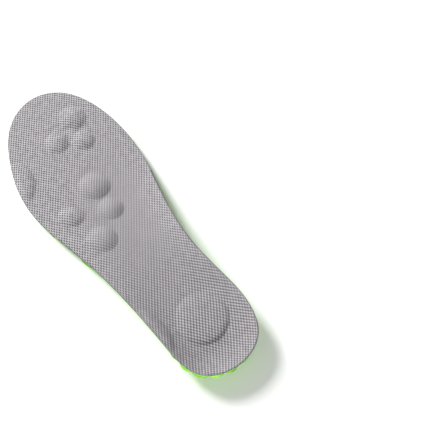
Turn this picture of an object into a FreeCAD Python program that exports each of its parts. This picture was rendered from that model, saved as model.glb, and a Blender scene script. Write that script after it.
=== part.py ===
"""Cushioned insole for a left shoe: knitted cover, bonding film and cobbled foam base.

Frame: origin at the centre of the heel pad's flat sole face, +Y to the toe, +X to the inner
(arch) side of the foot, +Z up. Sizes are in millimetres.
"""
import FreeCAD, Part
import math
import os

Vector = FreeCAD.Vector

# ---- driving dimensions -------------------------------------------------------------------
COVER_THICKNESS = 1.0
FILM_THICKNESS = 0.3
LAYERS = COVER_THICKNESS + FILM_THICKNESS
FLEX_Y = 137.3                  # flex line across the ball of the foot, where x is zero
FLEX_SKEW = 6.0                 # degrees that the flex line runs forward towards the inner side

# Rim outline seen from above: points of one closed smooth curve.
OUTLINE = [
    (2.0, -48.0), (25.5, -39.0), (34.5, -15.0), (32.5, 14.0), (29.8, 46.0), (34.3, 80.0),
    (42.5, 113.0), (45.5, 146.0), (40.0, 178.0), (26.0, 201.0), (6.0, 210.0), (-16.0, 204.5),
    (-36.0, 180.0), (-47.0, 144.0), (-44.5, 110.0), (-37.5, 76.0), (-33.5, 42.0),
    (-31.5, -2.0), (-24.0, -37.0),
]

# Height of the cover's top: (y, floor along the middle, inner rim, outer rim).
TOP_HEIGHTS = [
    (-60.0, 9.5, 20.0, 20.0),
    (-20.0, 9.5, 20.5, 20.0),
    (0.0, 9.5, 21.5, 19.5),
    (30.0, 10.5, 24.5, 16.5),
    (55.0, 11.5, 25.0, 13.5),
    (85.0, 10.5, 18.5, 10.5),
    (115.0, 8.4, 10.5, 8.4),
    (143.0, 7.4, 7.6, 7.4),
    (175.0, 7.0, 7.0, 7.0),
    (225.0, 6.6, 6.6, 6.6),
]
# Width of the wall that rises to the rim: (y, inner side, outer side).
WALL_WIDTHS = [
    (-60.0, 24.0, 22.0),
    (10.0, 27.0, 20.0),
    (55.0, 38.0, 20.0),
    (120.0, 34.0, 18.0),
    (225.0, 20.0, 18.0),
]
# Thickness of the moulded edge below the cover at the rim: (y, inner side, outer side).
EDGE_THICKNESS = [
    (-60.0, 4.5, 4.5),
    (10.0, 5.0, 4.5),
    (55.0, 6.0, 4.2),
    (120.0, 3.6, 3.4),
    (225.0, 2.6, 2.6),
]
WALL_POWER = 2.0

SOLE_CLEARANCE = 3.0            # height of the sole between the cobbles
FLANK_WIDTH = 19.0              # how far inside the rim the sole starts to rise
FLANK_POWER = 2.2

# Cushion pods and pads under the cover: name, centre x, y, half length, half width, turn,
# height, steepness. A pod's top stands over the foam by height * (1 - r ** steepness), where r
# is 0 at its centre and 1 at its rim, so 2 is a dome and 8 is a flat pad with a steep rim.
PODS = [
    ("toe_pod_front", 21.0, 178.5, 10.5, 9.0, 50.0, 3.4, 2),
    ("toe_pod_outer", -0.3, 169.2, 9.2, 8.3, 50.0, 3.2, 2),
    ("toe_pod_inner", 16.8, 158.8, 8.8, 7.8, 50.0, 3.2, 2),
    ("ball_pod_front", 1.5, 124.5, 12.2, 10.4, 50.0, 4.4, 2),
    ("ball_pod_middle", 0.5, 102.6, 9.8, 8.7, 50.0, 4.0, 2),
    ("ball_pod_outer", -26.0, 115.5, 10.0, 8.0, 50.0, 3.6, 2),
    ("ball_pod_rear", -18.5, 87.0, 11.5, 10.0, 50.0, 4.2, 2),
    ("forefoot_edge_pad", -42.5, 161.0, 17.0, 13.5, -17.0, 2.4, 6),
    ("heel_disc", 3.0, -4.0, 19.5, 19.0, 0.0, 2.4, 8),
    ("heel_edge_pad", -32.5, 9.0, 21.0, 11.0, 3.0, 2.2, 6),
]
POD_POCKET = 1.5                # how deep a pod sits in the foam
POD_SKIRT = 1.04                # a pod's own rim, past where its top meets the foam's
POD_STEP = 1.6                  # spacing of the points that a pod's top passes through

# Heel pad: an oval insert in the sole, with a bevelled edge and a slanting grid of blind holes.
PAD_HALF_LENGTH = 27.0
PAD_HALF_WIDTH = 19.0
PAD_TURN = 6.0
PAD_DEPTH = 4.5
PAD_BEVEL = 1.2
MOAT_WIDTH = 1.6
MOAT_DEPTH = 0.4                # how deep the moat's floor lies in the sole
PAD_HOLES = (4, 4, 4, 4)        # holes in each column
PAD_COLUMN_STEP = (-3.0, -8.4)
PAD_HOLE_STEP = (5.0, -5.9)

# Perforated cobbles of the forefoot: x, y, radius, holes in each column.
CELLS = [
    (-10.0, 175.0, 11.5, (3, 3, 3)),
    (14.0, 156.0, 13.5, (3, 4, 4, 3)),
    (-14.0, 143.5, 11.0, (3, 3, 3)),
    (-31.5, 131.0, 9.0, (2, 2)),
    (0.0, 131.0, 8.5, (2, 2)),
    (-19.0, 117.5, 9.0, (2, 2)),
    (-1.5, 109.0, 10.0, (2, 3, 2)),
    (-24.0, 95.0, 10.0, (2, 3, 2)),
    (-8.5, 82.5, 11.0, (3, 3, 3)),
]
CELL_COLUMN_STEP = (-3.1, -5.5)
CELL_HOLE_STEP = (3.1, -3.7)
CELL_HEIGHT = 3.6               # the sole plane cuts these cobbles flat
HOLE_RADIUS = 1.0
HOLE_DEPTH = 2.4

# Plain cobbles of the sole: x, y, footprint radius.
COBBLES = [
    (4.0, 188.5, 9.5), (10.5, 173.5, 8.0), (-23.0, 183.0, 7.5), (-26.5, 172.0, 7.5),
    (-23.5, 159.5, 9.5), (-34.5, 149.0, 9.0), (27.0, 172.0, 8.5), (31.5, 152.0, 8.5),
    (16.0, 135.0, 9.5), (31.0, 135.5, 8.5), (12.5, 120.5, 8.5), (27.0, 120.0, 9.0),
    (15.5, 105.5, 9.0), (29.0, 105.5, 8.5), (4.0, 94.5, 8.5), (20.0, 91.5, 9.5),
    (-37.5, 115.0, 9.0), (-34.0, 81.0, 9.0), (9.0, 79.0, 9.0), (24.0, 77.0, 9.0),
    (-24.0, 69.5, 10.0), (-4.0, 66.0, 8.5), (11.0, 64.5, 8.0), (-17.0, 54.5, 10.0),
    (-2.0, 52.0, 7.0), (8.0, 53.0, 6.5), (20.0, 60.0, 8.5), (-27.5, 45.0, 8.0),
    (-13.0, 39.0, 9.5), (4.0, 39.5, 10.5), (18.5, 43.5, 9.0), (-24.5, 29.0, 8.0),
]
COBBLE_HEIGHT = 3.0

# Lobes that ring the flank just inside the rim, and stand a little proud of it.
LOBE_PITCH = 12.0
LOBE_INSET = 5.5
LOBE_RADIUS = 8.0
LOBE_HEIGHT = 2.6
LOBE_OVERHANG = 1.0
EDGE_BAND = 2.0                 # plain band of foam between the film and the lobes

# ---- helpers ------------------------------------------------------------------------------
GRID_STEP = 6.0                 # spacing of the points that the two big surfaces pass through
GRID_X = (-60.0, 60.0)
GRID_Y = (-60.0, 222.0)
OUTER_REACH = 6.0               # how far outside the rim those surfaces go on rising
ABOVE = 60.0                    # reach of the trimming solids
BELOW = 1.0                     # how far the trimming solids start under the ground plane
RIM_SAMPLES = 241               # points that stand for the rim where distances are measured
SIDE_MIX = 60.0                 # width over which the outer side's sizes turn into the inner's
CRUMB = 1.0                     # cubic millimetres; smaller left-over solids are dropped


def along(table, y, column):
    """Read one column of a table at y, on a smooth curve that never overshoots its rows."""
    ys = [row[0] for row in table]
    vs = [row[column] for row in table]
    slopes = [(vs[i + 1] - vs[i]) / (ys[i + 1] - ys[i]) for i in range(len(ys) - 1)]
    tangents = [slopes[0]]
    for before, after in zip(slopes, slopes[1:]):
        same_way = before * after > 0
        tangents.append(2 * before * after / (before + after) if same_way else 0.0)
    tangents.append(slopes[-1])
    y = min(max(y, ys[0]), ys[-1])
    i = max(k for k in range(len(ys) - 1) if ys[k] <= y)
    span = ys[i + 1] - ys[i]
    t = (y - ys[i]) / span
    return ((2 * t ** 3 - 3 * t ** 2 + 1) * vs[i] + (t ** 3 - 2 * t ** 2 + t) * span * tangents[i]
            + (3 * t ** 2 - 2 * t ** 3) * vs[i + 1] + (t ** 3 - t ** 2) * span * tangents[i + 1])


def outline_curve():
    """The rim as one closed smooth curve in the XY plane."""
    curve = Part.BSplineCurve()
    curve.interpolate(Points=[Vector(x, y, 0) for x, y in OUTLINE], PeriodicFlag=True)
    return curve


RIM = outline_curve()
RIM_POINTS = RIM.discretize(Number=RIM_SAMPLES)


def rim_distance(x, y):
    """Distance from the rim in plan, positive inside and negative outside."""
    best = 1e9
    crossings = 0
    for a, b in zip(RIM_POINTS, RIM_POINTS[1:]):
        dx, dy = b.x - a.x, b.y - a.y
        t = ((x - a.x) * dx + (y - a.y) * dy) / (dx * dx + dy * dy)
        t = min(max(t, 0.0), 1.0)
        best = min(best, math.hypot(x - a.x - t * dx, y - a.y - t * dy))
        if (a.y > y) != (b.y > y) and x < a.x + (y - a.y) * dx / dy:
            crossings += 1
    return best if crossings % 2 else -best


def by_side(table, x, y, column=1):
    """A table's inner and outer values at y, mixed across the width."""
    share = min(max(0.5 + x / SIDE_MIX, 0.0), 1.0)
    share = share * share * (3 - 2 * share)
    return along(table, y, column) * share + along(table, y, column + 1) * (1 - share)


def climb(inset, width):
    """Share of a wall's climb: 0 where it starts, 1 at the rim, and levelling off outside."""
    if inset < 0:
        inset = OUTER_REACH * (math.exp(inset / OUTER_REACH) - 1)
    return max(0.0, 1.0 - inset / width)


def cover_top(x, y, inset):
    """Height of the cover's top: a floor, and a wall that rises to the rim."""
    floor = along(TOP_HEIGHTS, y, 1)
    rise = by_side(TOP_HEIGHTS, x, y, 2) - floor
    return floor + rise * climb(inset, by_side(WALL_WIDTHS, x, y)) ** WALL_POWER


def sole_base(x, y, inset):
    """Height of the sole between the cobbles: flat, and rising at the flank to the edge."""
    rim = by_side(TOP_HEIGHTS, x, y, 2) - LAYERS
    rise = rim - by_side(EDGE_THICKNESS, x, y) - SOLE_CLEARANCE
    return SOLE_CLEARANCE + max(rise, 0.0) * climb(inset, FLANK_WIDTH) ** FLANK_POWER


def steps(low, high):
    """Evenly spaced values from low to high."""
    count = round((high - low) / GRID_STEP)
    return [low + (high - low) * i / count for i in range(count + 1)]


def solid_below(height, drop):
    """Everything under a smooth surface through height(x, y) less drop."""
    rows = []
    for x in steps(*GRID_X):
        rows.append([Vector(x, y, height(x, y, rim_distance(x, y)) - drop) for y in steps(*GRID_Y)])
    surface = Part.BSplineSurface()
    surface.interpolate(rows)
    return surface.toShape().extrude(Vector(0, 0, -ABOVE))


def prism(curve, low, high):
    """An upright solid on a closed flat curve."""
    face = Part.Face(Part.Wire([curve.toShape()]))
    face.translate(Vector(0, 0, low))
    return face.extrude(Vector(0, 0, high - low))


def moved(shape, dz):
    """A copy of a shape, raised."""
    copy = shape.copy()
    copy.translate(Vector(0, 0, dz))
    return copy


def ellipse_prism(x, y, half_length, half_width, turn, low, high):
    """An upright elliptical solid, its long axis along Y and then turned about Z."""
    ellipse = Part.Ellipse(Vector(0, 0, 0), half_length, half_width)
    face = Part.Face(Part.Wire([ellipse.toShape()]))
    face.rotate(Vector(0, 0, 0), Vector(0, 0, 1), 90.0 + turn)
    face.translate(Vector(x, y, low))
    return face.extrude(Vector(0, 0, high - low))


def hole_places(x, y, columns, column_step, hole_step):
    """Centres of a slanting grid of holes about (x, y)."""
    places = []
    for c, count in enumerate(columns):
        across = c - (len(columns) - 1) / 2
        for h in range(count):
            down = h - (count - 1) / 2
            places.append((x + across * column_step[0] + down * hole_step[0],
                           y + across * column_step[1] + down * hole_step[1]))
    return places


def blind_holes(places):
    """Round blind holes that open at the sole plane."""
    length = HOLE_DEPTH + BELOW
    drills = [Part.makeCylinder(HOLE_RADIUS, length, Vector(x, y, -BELOW)) for x, y in places]
    return Part.makeCompound(drills)


def cobble(x, y, radius, height):
    """A ball whose cap stands out square to the sole, with the given footprint and height."""
    nudge = 0.5
    here = sole_base(x, y, rim_distance(x, y))
    slope_x = (sole_base(x + nudge, y, rim_distance(x + nudge, y)) - here) / nudge
    slope_y = (sole_base(x, y + nudge, rim_distance(x, y + nudge)) - here) / nudge
    outward = Vector(slope_x, slope_y, -1).normalize()
    ball = (radius ** 2 + height ** 2) / (2 * height)
    return Part.makeSphere(ball, Vector(x, y, here) - outward * (ball - height))


def lobe_places():
    """Even places round the rim, a fixed distance inside it."""
    count = round(RIM.length() / LOBE_PITCH)
    places = []
    for point in RIM.discretize(Number=count + 1)[:-1]:
        tangent = RIM.tangent(RIM.parameter(point))[0]
        inward = Vector(-tangent.y, tangent.x, 0)
        places.append(point + inward * LOBE_INSET)
    return places


def offset_rim(distance):
    """The rim moved out by a distance."""
    points = []
    for x, y in OUTLINE:
        tangent = RIM.tangent(RIM.parameter(Vector(x, y, 0)))[0]
        points.append(Vector(x + tangent.y * distance, y - tangent.x * distance, 0))
    curve = Part.BSplineCurve()
    curve.interpolate(Points=points, PeriodicFlag=True)
    return curve


# ---- sub-parts ----------------------------------------------------------------------------
def pod_top(pod):
    """Everything under the top surface of a pod, over a box a little larger than the pod."""
    _, x, y, half_length, half_width, turn, height, steepness = pod
    angle = math.radians(turn)
    reach = max(half_length, half_width) * POD_SKIRT + POD_STEP
    count = round(2 * reach / POD_STEP)
    offsets = [reach * (2 * i / count - 1) for i in range(count + 1)]
    rows = []
    for dx in offsets:
        row = []
        for dy in offsets:
            across = (dx * math.cos(angle) + dy * math.sin(angle)) / half_width
            length = (dy * math.cos(angle) - dx * math.sin(angle)) / half_length
            spread = min(math.hypot(across, length), POD_SKIRT + 0.1)
            level = cover_top(x + dx, y + dy, rim_distance(x + dx, y + dy)) - LAYERS
            row.append(Vector(x + dx, y + dy, level + height * (1 - spread ** steepness)))
        rows.append(row)
    surface = Part.BSplineSurface()
    surface.interpolate(rows)
    return surface.toShape().extrude(Vector(0, 0, -ABOVE))


def make_pods(blank, below_foam_top):
    """The pods and pads under the cover, each set into a shallow pocket of the foam."""
    pods = {}
    for pod in PODS:
        name, x, y, half_length, half_width, turn = pod[:6]
        plan = ellipse_prism(x, y, half_length * POD_SKIRT, half_width * POD_SKIRT, turn, -BELOW, ABOVE)
        body = plan.common(blank).common(pod_top(pod))
        pods[name] = body.cut(moved(below_foam_top, -POD_POCKET))
    return pods


def make_heel_pad():
    """The oval pad of the sole: flat face on the ground, bevelled edge, blind holes."""
    pad = ellipse_prism(0, 0, PAD_HALF_LENGTH, PAD_HALF_WIDTH, PAD_TURN, 0, PAD_DEPTH)
    rim = [edge for edge in pad.Edges if edge.BoundBox.ZMax < PAD_BEVEL / 2]
    pad = pad.makeChamfer(PAD_BEVEL, rim)
    return pad.cut(blind_holes(hole_places(0, 0, PAD_HOLES, PAD_COLUMN_STEP, PAD_HOLE_STEP)))


def make_foam(blank, below_foam_top, pods):
    """The moulded base: a bowl-shaped core with cobbles, lobes, holes and insert pockets."""
    core = blank.common(below_foam_top).cut(solid_below(sole_base, 0))
    balls = [cobble(x, y, radius, COBBLE_HEIGHT) for x, y, radius in COBBLES]
    balls += [cobble(x, y, radius, CELL_HEIGHT) for x, y, radius, _ in CELLS]
    lobes = [cobble(p.x, p.y, LOBE_RADIUS, LOBE_HEIGHT) for p in lobe_places()]
    cobbles = balls[0].multiFuse(balls[1:]).fuse(lobes[0].multiFuse(lobes[1:]))
    room = prism(offset_rim(LOBE_OVERHANG), 0, ABOVE).common(moved(below_foam_top, -EDGE_BAND))
    foam = core.fuse(cobbles.common(room))
    moat = ellipse_prism(0, 0, PAD_HALF_LENGTH + MOAT_WIDTH, PAD_HALF_WIDTH + MOAT_WIDTH, PAD_TURN,
                         -BELOW, SOLE_CLEARANCE + MOAT_DEPTH)
    pocket = ellipse_prism(0, 0, PAD_HALF_LENGTH, PAD_HALF_WIDTH, PAD_TURN, -BELOW, PAD_DEPTH)
    places = []
    for x, y, _, columns in CELLS:
        places += hole_places(x, y, columns, CELL_COLUMN_STEP, CELL_HOLE_STEP)
    return foam.cut(moat).cut(pocket).cut([blind_holes(places)] + pods)


def make_layers(blank, below_foam_top, pods):
    """The bonding film and the knitted cover, laid over the foam and everything set in it."""
    covered = blank.common(below_foam_top).fuse(pods)
    film = moved(covered, FILM_THICKNESS).cut(covered).common(blank)
    under_cover = moved(covered, FILM_THICKNESS)
    cover = moved(under_cover, COVER_THICKNESS).cut(under_cover).common(blank)
    return film, cover


def halves(shape):
    """A shape's two sides of the flex line: rear and fore."""
    half = 2 * ABOVE
    fore = Part.makeBox(2 * half, 2 * half, half, Vector(-half, 0, -ABOVE))
    fore.rotate(Vector(), Vector(0, 0, 1), FLEX_SKEW)
    fore.translate(Vector(0, FLEX_Y, 0))
    return shape.cut(fore), shape.common(fore)


def solids_of(shape):
    """The shape's solids, leaving out crumbs."""
    solids = [solid for solid in shape.Solids if solid.Volume > CRUMB]
    return solids[0] if len(solids) == 1 else Part.makeCompound(solids)


def save(name, shape):
    """Write one node."""
    shape.exportStep("parts/" + name + ".step")
    box = shape.BoundBox
    print("%-20s solids %d valid %s volume %9.1f  z %.2f to %.2f" % (
        name, len(shape.Solids), shape.isValid(), shape.Volume, box.ZMin, box.ZMax))


def main():
    """Build every node and write its STEP file."""
    os.makedirs("parts", exist_ok=True)
    blank = prism(RIM, -BELOW, ABOVE)
    below_foam_top = solid_below(cover_top, LAYERS)
    pods = make_pods(blank, below_foam_top)
    foam = make_foam(blank, below_foam_top, list(pods.values()))
    film, cover = make_layers(blank, below_foam_top, list(pods.values()))
    for name, shape in (("foam_base", foam), ("bonding_film", film), ("knit_cover", cover)):
        rear, fore = halves(shape)
        save(name + "_rear", solids_of(rear))
        save(name + "_fore", solids_of(fore))
    save("heel_pad", make_heel_pad())
    for name, shape in pods.items():
        save(name, solids_of(shape))


if __name__ == "__main__":
    main()
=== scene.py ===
"""Looks of a cushioned insole for a left shoe.

A knitted cover lies over cushion pods and a moulded foam base, and a film bonds it down; the film's
near-black edge along the rim is partly painted shadow.
Every piece is a surface worked out on a grid with numpy. Shapes are in millimetres, in the CAD
model's frame: +Y to the toe, +X to the inner (arch) side of the foot, +Z up through the cover.
"""
import logging
import math
from dataclasses import dataclass, field
from enum import Enum

import bpy
import numpy as np
from mathutils import Matrix, Vector


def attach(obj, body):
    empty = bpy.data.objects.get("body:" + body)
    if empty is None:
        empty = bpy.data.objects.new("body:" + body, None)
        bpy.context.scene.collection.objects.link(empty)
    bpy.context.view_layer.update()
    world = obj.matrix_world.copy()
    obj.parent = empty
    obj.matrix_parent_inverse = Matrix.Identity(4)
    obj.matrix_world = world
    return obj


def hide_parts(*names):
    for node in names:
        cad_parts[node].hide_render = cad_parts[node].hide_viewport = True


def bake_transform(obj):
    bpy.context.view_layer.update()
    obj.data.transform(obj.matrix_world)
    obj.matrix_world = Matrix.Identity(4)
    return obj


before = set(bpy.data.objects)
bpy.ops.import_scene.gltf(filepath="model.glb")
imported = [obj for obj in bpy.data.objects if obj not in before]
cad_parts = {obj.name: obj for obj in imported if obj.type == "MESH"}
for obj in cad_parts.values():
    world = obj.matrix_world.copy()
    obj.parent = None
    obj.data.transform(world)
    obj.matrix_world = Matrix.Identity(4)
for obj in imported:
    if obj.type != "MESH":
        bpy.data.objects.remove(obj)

Array = np.ndarray
Socket = bpy.types.NodeSocket
Tree = bpy.types.NodeTree
LOG = logging.getLogger("insole")
MM = 0.001                      # metres in a millimetre
UV_UNIT = 100.0                 # millimetres of cloth in one unit of the yarn map
YARN_MAP = "yarns"
GROOVE_MAP = "groove"
SIDE_MIX = 60.0                 # width over which the outer side's sizes turn into the inner's


# ---- small helpers ------------------------------------------------------------------------
def linear(code: str) -> tuple[float, float, float, float]:
    """Turn an sRGB colour of six hex digits into the linear colour that a shader takes."""
    parts = [int(code[i:i + 2], 16) / 255.0 for i in (0, 2, 4)]
    red, green, blue = (p / 12.92 if p <= 0.04045 else ((p + 0.055) / 1.055) ** 2.4 for p in parts)
    return (red, green, blue, 1.0)


def smooth(value: Array) -> Array:
    """Ease a value from 0 to 1 with level ends: 3t² - 2t³, held outside 0 to 1."""
    value = np.clip(value, 0.0, 1.0)
    return value * value * (3.0 - 2.0 * value)


def soft_max(values: Array, softness: float) -> Array:
    """Blend stacked fields into their largest with soft grooves: s * log(sum(exp(value / s)))."""
    top = values.max(axis=0)
    return top + softness * np.log(np.exp((values - top) / softness).sum(axis=0))


def add_node(tree: Tree, kind: str, inputs: dict | None = None, **settings) -> bpy.types.Node:
    """Add a shader node, set it up and link it.

    Args:
        tree: The node tree.
        kind: The node's type, without "ShaderNode".
        inputs: For each input's name or index, a value, or an output socket to link from.
        **settings: Attributes of the node.

    Returns:
        The node.
    """
    made = tree.nodes.new("ShaderNode" + kind)
    for name, value in settings.items():
        setattr(made, name, value)
    for name, value in (inputs or {}).items():
        if isinstance(value, Socket):
            tree.links.new(value, made.inputs[name])
        else:
            made.inputs[name].default_value = value
    return made


def maths(tree: Tree, operation: str, *values: float | Socket, **settings) -> Socket:
    """Add a maths node on values or sockets, and give its result."""
    return add_node(tree, "Math", dict(enumerate(values)), operation=operation, **settings).outputs[0]


def noise(tree: Tree, place: Socket, scale: float, detail: float, dimensions: str = "3D") -> Socket:
    """Add a noise read at a place, and give its value, 0 to 1."""
    inputs = {"Vector": place, "Scale": scale, "Detail": detail}
    return add_node(tree, "TexNoise", inputs, noise_dimensions=dimensions).outputs["Fac"]


def spread_over(tree: Tree, value: Socket, low: float, high: float) -> Socket:
    """Spread a value of 0 to 1 over low to high."""
    return add_node(tree, "MapRange", {"Value": value, "To Min": low, "To Max": high}).outputs["Result"]


def bumped(tree: Tree, height: Socket, strength: float, relief: float) -> Socket:
    """Give the normals of a height of 0 to 1 that stands for so many millimetres of relief."""
    inputs = {"Height": height, "Strength": strength, "Distance": relief * MM}
    return add_node(tree, "Bump", inputs).outputs["Normal"]


def ramp(tree: Tree, value: Socket, first: tuple[float, str], middle: tuple[float, str],
         last: tuple[float, str], interpolation: str = "LINEAR") -> Socket:
    """Turn a value into a colour.

    Args:
        tree: The node tree.
        value: The value.
        first: Where the ramp starts and its sRGB hex colour there.
        middle: The same for its middle stop.
        last: The same for its end.
        interpolation: How the ramp runs between stops.

    Returns:
        The colour.
    """
    made = add_node(tree, "ValToRGB", {"Fac": value})
    made.color_ramp.interpolation = interpolation
    elements = made.color_ramp.elements
    elements[0].position, elements[0].color = first[0], linear(first[1])
    elements[1].position, elements[1].color = last[0], linear(last[1])
    elements.new(middle[0]).color = linear(middle[1])
    return made.outputs["Color"]


def new_material(name: str) -> tuple[bpy.types.Material, Tree]:
    """Make an empty material, named after the real one and how it was made, and give its tree."""
    material = bpy.data.materials.new(name)
    material.use_nodes = True
    material.node_tree.nodes.clear()
    return material, material.node_tree


def shade(material: bpy.types.Material, inputs: dict) -> bpy.types.Material:
    """Finish a material with a principled shader that has these inputs."""
    shader = add_node(material.node_tree, "BsdfPrincipled", inputs)
    add_node(material.node_tree, "OutputMaterial", {"Surface": shader.outputs[0]})
    return material


# ---- the insole's form --------------------------------------------------------------------
@dataclass(frozen=True)
class Table:
    """Sizes that change along the insole: rows of (y, size, size, ...) in millimetres."""

    rows: tuple[tuple[float, ...], ...]

    def at(self, y: Array, column: int = 1) -> Array:
        """Read a column on a smooth curve that never overshoots its rows.

        A cubic joins each two rows. Its slope at a row is the harmonic mean of the slopes on
        both sides, or level where they differ in sign.

        Args:
            y: Where to read it.
            column: Which size.

        Returns:
            The size at each y.
        """
        table = np.array(self.rows)
        ys, sizes = table[:, 0], table[:, column]
        slopes = np.diff(sizes) / np.diff(ys)
        before, after = slopes[:-1], slopes[1:]
        same_way = before * after > 0
        total = np.where(same_way, before + after, 1.0)
        middle = np.where(same_way, 2.0 * before * after / total, 0.0)
        tangents = np.concatenate([slopes[:1], middle, slopes[-1:]])
        y = np.clip(y, ys[0], ys[-1])
        i = np.clip(np.searchsorted(ys, y, side="right") - 1, 0, len(ys) - 2)
        span = ys[i + 1] - ys[i]
        t = (y - ys[i]) / span
        return ((2 * t ** 3 - 3 * t ** 2 + 1) * sizes[i] + (t ** 3 - 2 * t ** 2 + t) * span * tangents[i]
                + (3 * t ** 2 - 2 * t ** 3) * sizes[i + 1] + (t ** 3 - t ** 2) * span * tangents[i + 1])

    def by_side(self, x: Array, y: Array) -> Array:
        """Mix the inner side's size (column 1) and the outer side's (column 2) across the width."""
        inner = smooth(0.5 + x / SIDE_MIX)
        return self.at(y, 1) * inner + self.at(y, 2) * (1.0 - inner)


COVER_THICKNESS = 1.0
FILM_THICKNESS = 0.3
LAYERS = COVER_THICKNESS + FILM_THICKNESS
WALL_POWER = 2.0
SOLE_CLEARANCE = 3.0            # height of the sole between the cobbles
FLANK_WIDTH = 19.0              # how far inside the rim the sole starts to rise
FLANK_POWER = 2.2
RIM_MARGIN = 0.4                # how far inside the rim the pods end
PINCH_WIDTH = 4.5               # width over which a pod's height fades towards its end at the rim
PLAY = 0.02                     # gap between pieces that touch, so that no two faces coincide

# Rim outline seen from above: points of one closed smooth curve.
OUTLINE = (
    (2.0, -48.0), (25.5, -39.0), (34.5, -15.0), (32.5, 14.0), (29.8, 46.0), (34.3, 80.0),
    (42.5, 113.0), (45.5, 146.0), (40.0, 178.0), (26.0, 201.0), (6.0, 210.0), (-16.0, 204.5),
    (-36.0, 180.0), (-47.0, 144.0), (-44.5, 110.0), (-37.5, 76.0), (-33.5, 42.0),
    (-31.5, -2.0), (-24.0, -37.0),
)
# Height of the cover's top: along the middle, and (y, inner rim, outer rim).
FLOOR = Table((
    (-60.0, 9.5), (-20.0, 9.5), (0.0, 9.5), (30.0, 10.5), (55.0, 11.5), (85.0, 10.5),
    (115.0, 8.4), (143.0, 7.4), (175.0, 7.0), (225.0, 6.6),
))
RIM_HEIGHT = Table((
    (-60.0, 20.0, 20.0), (-20.0, 20.5, 20.0), (0.0, 21.5, 19.5), (30.0, 24.5, 16.5),
    (55.0, 25.0, 13.5), (85.0, 18.5, 10.5), (115.0, 10.5, 8.4), (143.0, 7.6, 7.4),
    (175.0, 7.0, 7.0), (225.0, 6.6, 6.6),
))
# Width of the wall that rises to the rim: (y, inner side, outer side).
WALL_WIDTH = Table((
    (-60.0, 24.0, 22.0), (10.0, 27.0, 20.0), (55.0, 38.0, 20.0), (120.0, 34.0, 18.0),
    (225.0, 20.0, 18.0),
))
# Thickness of the moulded edge below the cover at the rim: (y, inner side, outer side).
EDGE_THICKNESS = Table((
    (-60.0, 4.5, 4.5), (10.0, 5.0, 4.5), (55.0, 6.0, 4.2), (120.0, 3.6, 3.4),
    (225.0, 2.6, 2.6),
))


def outward_of(line: Array) -> Array:
    """Find the unit vectors square to a closed counter-clockwise line, pointing out of it."""
    ahead = np.roll(line, -1, axis=0) - np.roll(line, 1, axis=0)
    ahead /= np.linalg.norm(ahead, axis=1)[:, None]
    return np.stack([ahead[:, 1], -ahead[:, 0]], axis=1)


def turned(x: Array, y: Array, degrees: float,
           origin: tuple[float, float] = (0.0, 0.0)) -> tuple[Array, Array]:
    """Turn points counter-clockwise from above, and carry them to an origin."""
    angle = math.radians(degrees)
    return (origin[0] + x * math.cos(angle) - y * math.sin(angle),
            origin[1] + x * math.sin(angle) + y * math.cos(angle))


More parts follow.
